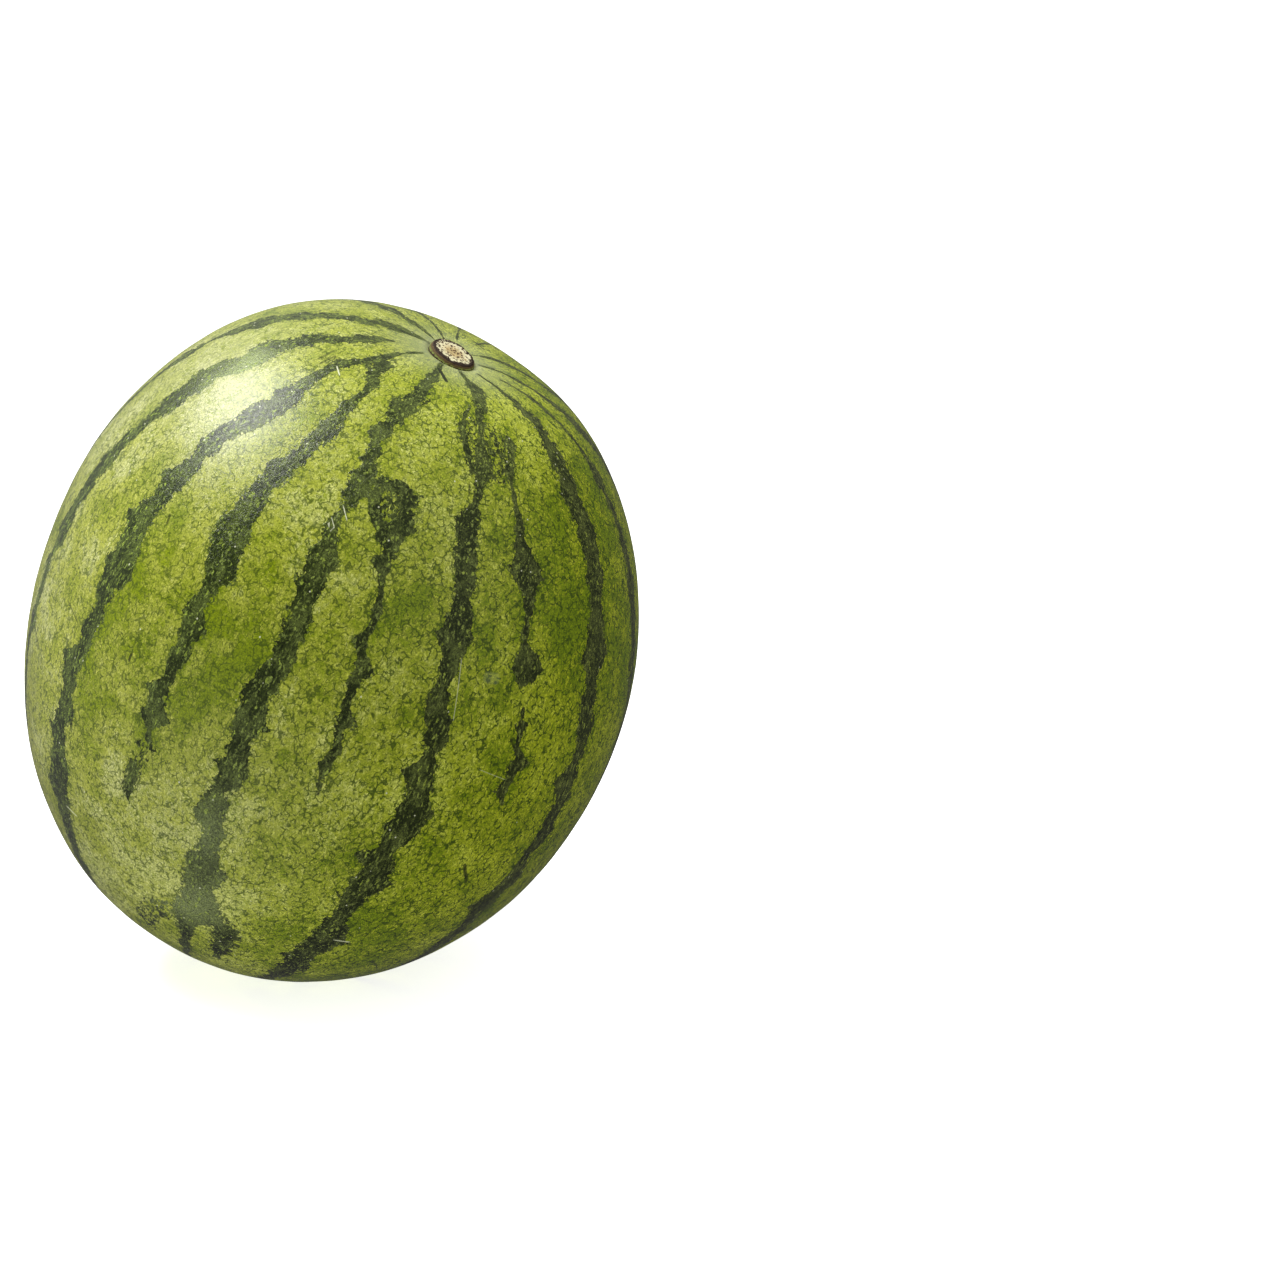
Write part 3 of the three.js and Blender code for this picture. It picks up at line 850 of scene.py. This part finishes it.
# The cork's nodes: pits and lumps, then the face, the side and the painted shade of the dark rims between
# them.
def corkMaterial():
    look = readLook(corkLook)
    material, tree = newMaterial("dryCork")
    add = functools.partial(addNode, tree)
    place = add("TexCoord").outputs["Object"]
    down = add("Attribute", attribute_name="down").outputs["Fac"]
    lumps = add("TexNoise", place, 1 / (look.pits * mm), 2.0, 0.6)
    uneven = add("Math", add("Math", lumps, 0.5, **minus), look.wobble, down, **timesPlus)
    pit = add("TexVoronoi", place, 1 / (look.pits * mm), feature="F1")
    chance, _, _ = add("SeparateXYZ", pit.outputs["Color"]).outputs
    pits = add("MapRange", pit, *look.pitRange, **soft)
    pits = add("Math", pits, add("MapRange", chance, *look.pitChance), **times)
    brown = add("Mix", add("MapRange", chance, *look.pitBrown), look.paleBrown, look.pit, **mixed)
    browShade = add("Math", add("MapRange", uneven, *look.browInDown, **soft),
               add("MapRange", uneven, *look.browOutDown, **soft), **times)
    foot = add("MapRange", uneven, *look.footDown, **soft)

    # the face is cream, with an ochre middle and brown pits, and the side is green and brown
    face, side = look.face, look.sideBrown
    for share, over in (
        (add("MapRange", down, *look.middleDown, **soft), look.middle),
        (add("Math", pits, look.pitShare, **times), brown),
    ):
        face = add("Mix", share, face, over, **mixed)
    for share, over in (
        (add("MapRange", uneven, *look.greenDown, **soft), look.sideGreen),
        (add("MapRange", lumps, *look.lumpRange, **soft), look.sideBrown),
    ):
        side = add("Mix", share, side, over, **mixed)
    colour = add("Mix", add("MapRange", down, *look.faceDown, **soft), face, side, **mixed)
    # painted shade: the dark rim at the brow and at the foot
    colour = add("Mix", add("Math", browShade, foot, **larger), colour, look.rim, **mixed)
    strength, high = look.bump
    bump = add("Bump", Strength=strength, Distance=high * mm, Height=lumps)
    cork = add("BsdfPrincipled", colour, Roughness=look.roughness, IOR=look.ior, Normal=bump)
    add("OutputMaterial", cork)
    return material


rindFinish = rindMaterial()
corkFinish = corkMaterial()
print("materials made")

rindMesh = {
    "around": 420,  # points in a row
    "stemRows": 30,
    "stemReach": 0.22,  # radians from the stem that these rows cover
    "bodyRows": 193,
    "blossomRows": 12,
    "blossomReach": 0.13,  # radians
    "growthFloor": 0.3,  # how far the pattern is squeezed towards the ends: 0 isn't at all
    "growthStretch": 0.75,  # under 1, the pattern is longer along the fruit than across
    "swellFrom": (8, 30),  # mm from either end, where the skin starts to be uneven and is so in full
    "clear": 20.0,  # mm, the distance from a stripe or a mark that the poles get
    "farEnd": 100,  # mm, the distance from an end that the other half gets
}


# The whole rind on a grid of polar angle and angle round, with the rows closer at both ends.
def makeRind():
    turn = np.arange(rindMesh["around"]) * 2 * math.pi / rindMesh["around"]
    stem = np.linspace(0, rindMesh["stemReach"], rindMesh["stemRows"] + 1)[1:]
    blossom = np.linspace(math.pi - rindMesh["blossomReach"], math.pi, rindMesh["blossomRows"] + 1)[:-1]
    body = np.linspace(stem[-1], blossom[0], rindMesh["bodyRows"] + 2)[1:-1]
    fromStem, around = np.meshgrid(np.concatenate([stem, body, blossom]), turn, indexing="ij")
    reach = skinRadius(fromStem, around) * np.sin(fromStem)
    bare = skinPoints(fromStem, around, scarRelief(reach, fromStem))
    outward = bare / np.linalg.norm(bare, axis=-1, keepdims=True)
    swell = fruit["swell"] * ripple(bare, fruit["swellLength"], fruit["seed"])
    dimples = fruit["dimples"] * ripple(bare, fruit["dimpleLength"], fruit["seed"] + 1)
    rows = bare + outward * ((swell + dimples) * smoothStep(reach, *rindMesh["swellFrom"]))[..., None]
    first, last = rows[0].mean(axis=0), rows[-1].mean(axis=0)
    rind = closedSkin("rind", setDown(first), setDown(rows), setDown(last), rindFinish)

    # pattern coordinates in mm: round the fruit they are squeezed near both ends, where it grew less
    floor = rindMesh["growthFloor"]
    girth = fruit["wideRadius"] * np.sqrt((np.sin(fromStem) ** 2 + floor ** 2) / (1 + floor ** 2))
    length = rindMesh["growthStretch"] * fromStem * (fruit["wideRadius"] + fruit["longRadius"]) / 2
    growth = np.stack([girth * np.cos(around), girth * np.sin(around), length], axis=-1)
    giveAttribute(rind, "growth", growth[0].mean(axis=0), growth, growth[-1].mean(axis=0))
    clear = np.array([rindMesh["clear"], usualWidth, rindMesh["clear"]])
    giveAttribute(rind, "route", clear, stripeField(fromStem, around, reach), clear)
    giveAttribute(rind, "mark", clear, markField(bare), clear)
    giveAttribute(rind, "tone", 0.0, patchSum(bare, softPatches), 0.0)
    near, far = fromStem < math.pi / 2, rindMesh["farEnd"]
    ends = [np.where(near, reach, far), np.where(near, far, reach), patchSum(bare, waxAndSheenPatches)]
    giveAttribute(rind, "ends", np.array([0, far, 0.0]), np.stack(ends, axis=-1), np.array([far, 0, 0.0]))
    giveBakeMap(rind, *fromStem.shape)
    return rind


discMesh = {
    "around": 144,  # points in a row
    "rows": 8,  # for each point of the profile
    "fineRatio": 2.2,  # how much shorter the fine lumps are
    "fineShare": 0.6,  # and how high, as a share
    "sideways": 0.3,  # how far lumps push sideways, as a share of how far they push up
    "seed": 31,
}


# A corky disc on a profile of (reach, height) points carried round the axis. Its top slopes by a share of
# the reach times the cosine of the angle from the low side, and slow and fine waves add lumps to it.
def corkDisc(name, profile, level, slope, lowSide, lumps, flip):
    turn = np.arange(discMesh["around"]) * 2 * math.pi / discMesh["around"]
    out, up = np.array(profile).T
    knots = np.arange(len(out))
    along = np.linspace(0, len(out) - 1, discMesh["rows"] * len(out))[1:-1]
    reach = np.interp(along, knots, out)[:, None] + 0 * turn
    height = np.interp(along, knots, up)[:, None] + 0 * turn
    top = np.clip((height - up[-1]) / (up[0] - up[-1]), 0, 1)
    height = height - top * slope * reach * np.cos(turn - math.radians(lowSide))
    rows = np.stack([reach * np.cos(turn), reach * np.sin(turn), height], axis=-1)
    length, high = lumps
    fine = ripple(rows, length / discMesh["fineRatio"], discMesh["seed"] + 1)
    rough = ripple(rows, length, discMesh["seed"]) + discMesh["fineShare"] * fine
    push = np.array([discMesh["sideways"], discMesh["sideways"], 1])
    rows = rows + rough[..., None] * high * top[..., None] * push
    first, last = rows[0].mean(axis=0), rows[-1].mean(axis=0)
    down = (along / (len(out) - 1))[:, None] + 0 * turn
    shift = np.array([0, 0, level])

    def place(points):
        return setDown(points * flip + shift)

    disc = closedSkin(name, place(first), place(rows[:, ::int(flip[2])]), place(last), corkFinish)
    giveAttribute(disc, "down", 0.0, down[:, ::int(flip[2])], 1.0)
    return disc


# The plug's profile is a flat face, a rounded brow, and a side that goes down into the groove. The
# scar's is a low nub.
def makeScars():
    edge = scars["edgeRounding"]
    stemLevel = fruit["longRadius"] - fruit["stemFlattening"] - scars["puckerDepth"]
    face, out, high, root = scars["faceRadius"], scars["plugRadius"], scars["plugHeight"], -scars["plugRoot"]
    plug = [(0, high), (face * scars["faceFlat"], high), (face, high - edge),
            ((face + out) / 2, high - scars["plugShoulder"]), (out - edge, 2 * edge),
            (out, -scars["grooveDepth"] - 2 * edge), (out - scars["plugTaper"], root), (0, root)]
    upright, turned = np.array([1, 1, 1]), np.array([1, 1, -1])
    corkDisc("stemPlug", plug, stemLevel, scars["plugSlope"], scars["lowSide"], scars["plugLumps"], upright)
    blossomLevel = -fruit["longRadius"] + scars["dimpleDepth"]
    nub, top, high, root = scars["nubRadius"], scars["nubTopRadius"], scars["nubHeight"], -scars["nubRoot"]
    foot = nub - scars["nubTaper"]
    scar = [(0, high), (top, high), ((top + nub) / 2, high / 2), (nub, -edge), (foot, root), (0, root)]
    corkDisc("blossomScar", scar, blossomLevel, 0.0, 0.0, scars["nubLumps"], turned)


makeRind()
makeScars()
print("pieces made")

studio = {
    "lens": 101.25,  # mm on a 36 mm sensor
    "down": 14.0,  # degrees that the camera looks down
    "right": 116.97,  # mm from the fruit's middle to the middle of the view
    "up": 0.91,  # mm
    "away": 1368.0,  # mm from the fruit's middle, along the view
    "white": "#ffffff",
    "roomBase": 0.1,  # light from all round
    # (way, narrowness, light given, light seen in gloss): the wall behind on the left, the table below
    # on the left, a fill from the front, one overhead and one on the right, the diffuser round the soft
    # box and the ceiling behind
    "glows": [((-0.85, 0.45, 0.15), 4, 0.0, 0.35), ((-0.66, -0.36, -0.66), 4, 2.75, 0.1),
              ((0.6, -0.64, 0.48), 4, 0.78, 0.05), ((0.15, 0.25, 0.95), 4, 1.2, 0.2),
              ((0.75, -0.55, 0.2), 4, 0.32, 0.1), ((-0.48, 0.04, 0.87), 36, 0.0, 2.2),
              ((-0.2, 0.85, 0.5), 8, 0.0, 0.3)],
    "keyWay": (-0.47, 0.0, 0.88),  # from the fruit towards the soft box
    "keyAway": 1300.0,  # mm
    "keySize": (0.95, 0.6),  # m
    "keyPower": 18.0,  # W
    "floorSize": 40.0,  # m
    "floorGrey": (0.9, 0.9, 0.9, 1),
    "floorGlow": 0.78,  # so that it shows as a plain pale sheet
    "sightEnd": 100,  # m, the furthest that the camera sees
}


# The camera looks along +Y and a little down, and the fruit lies to the left in its view.
def makeCamera():
    down = math.radians(studio["down"])
    ahead = np.array([0, math.cos(down), -math.sin(down)])
    upward = np.array([0, math.sin(down), math.cos(down)])
    spot = middle + studio["right"] * np.array([1, 0, 0]) + studio["up"] * upward - studio["away"] * ahead
    camera = bpy.data.objects.new("camera", bpy.data.cameras.new("camera"))
    camera.data.lens = studio["lens"]
    camera.data.clip_end = studio["sightEnd"]
    camera.location = spot * mm
    camera.rotation_euler = (math.pi / 2 - down, 0, 0)
    bpy.context.scene.collection.objects.link(camera)
    bpy.context.scene.camera = camera


# One soft box, and the room round it.
def makeLights():
    way = np.array(studio["keyWay"]) / np.linalg.norm(studio["keyWay"])
    lamp = bpy.data.lights.new("softBox", "AREA")
    lamp.shape = "RECTANGLE"
    lamp.size, lamp.size_y = studio["keySize"]
    lamp.energy = studio["keyPower"]
    key = bpy.data.objects.new("softBox", lamp)
    key.location = (middle + way * studio["keyAway"]) * mm
    key.visible_camera = False
    key.rotation_euler = Vector(-way).to_track_quat("-Z", "Y").to_euler()
    bpy.context.scene.collection.objects.link(key)

    # the room: an even base and a few broad glows, each a power of how nearly a ray points its way
    world = bpy.data.worlds.new("studio")
    world.use_nodes = True
    tree = world.node_tree
    tree.nodes.clear()
    add = functools.partial(addNode, tree)
    ray = add("TexCoord").outputs["Generated"]
    rays = add("LightPath")
    total = studio["roomBase"]
    for way, narrow, given, glossy in studio["glows"]:
        unit = tuple(np.array(way) / np.linalg.norm(way))
        along = add("VectorMath", ray, unit, operation="DOT_PRODUCT")
        lobe = add("Math", add("Math", along, 0.0, **larger), narrow, operation="POWER")
        power = add("Mix", rays.outputs["Is Glossy Ray"], given, glossy, data_type="FLOAT")
        total = add("Math", lobe, power, total, **timesPlus)
    strength = add("Mix", rays.outputs["Is Camera Ray"], total, 1.0, data_type="FLOAT")
    add("OutputWorld", add("Background", linear(studio["white"]), strength))
    bpy.context.scene.world = world


# A wide sheet of white paper that glows a little. It throws no light and no gloss on the fruit.
def makeFloor():
    half = studio["floorSize"] / 2
    level = seatLevel * mm
    mesh = bpy.data.meshes.new("floor")
    corners = [(-half, -half, level), (half, -half, level), (half, half, level), (-half, half, level)]
    mesh.from_pydata(corners, [], [(0, 1, 2, 3)])
    material, tree = newMaterial("whitePaper")
    add = functools.partial(addNode, tree)
    paper = add("BsdfDiffuse", studio["floorGrey"])
    glow = add("Emission", linear(studio["white"]), studio["floorGlow"])
    add("OutputMaterial", add("AddShader", paper, glow))
    mesh.materials.append(material)
    floor = bpy.data.objects.new("floor", mesh)
    bpy.context.scene.collection.objects.link(floor)
    floor.visible_diffuse = False
    floor.visible_glossy = False


makeCamera()
makeLights()
makeFloor()
bpy.context.scene.view_settings.view_transform = "Standard"
print("studio made")
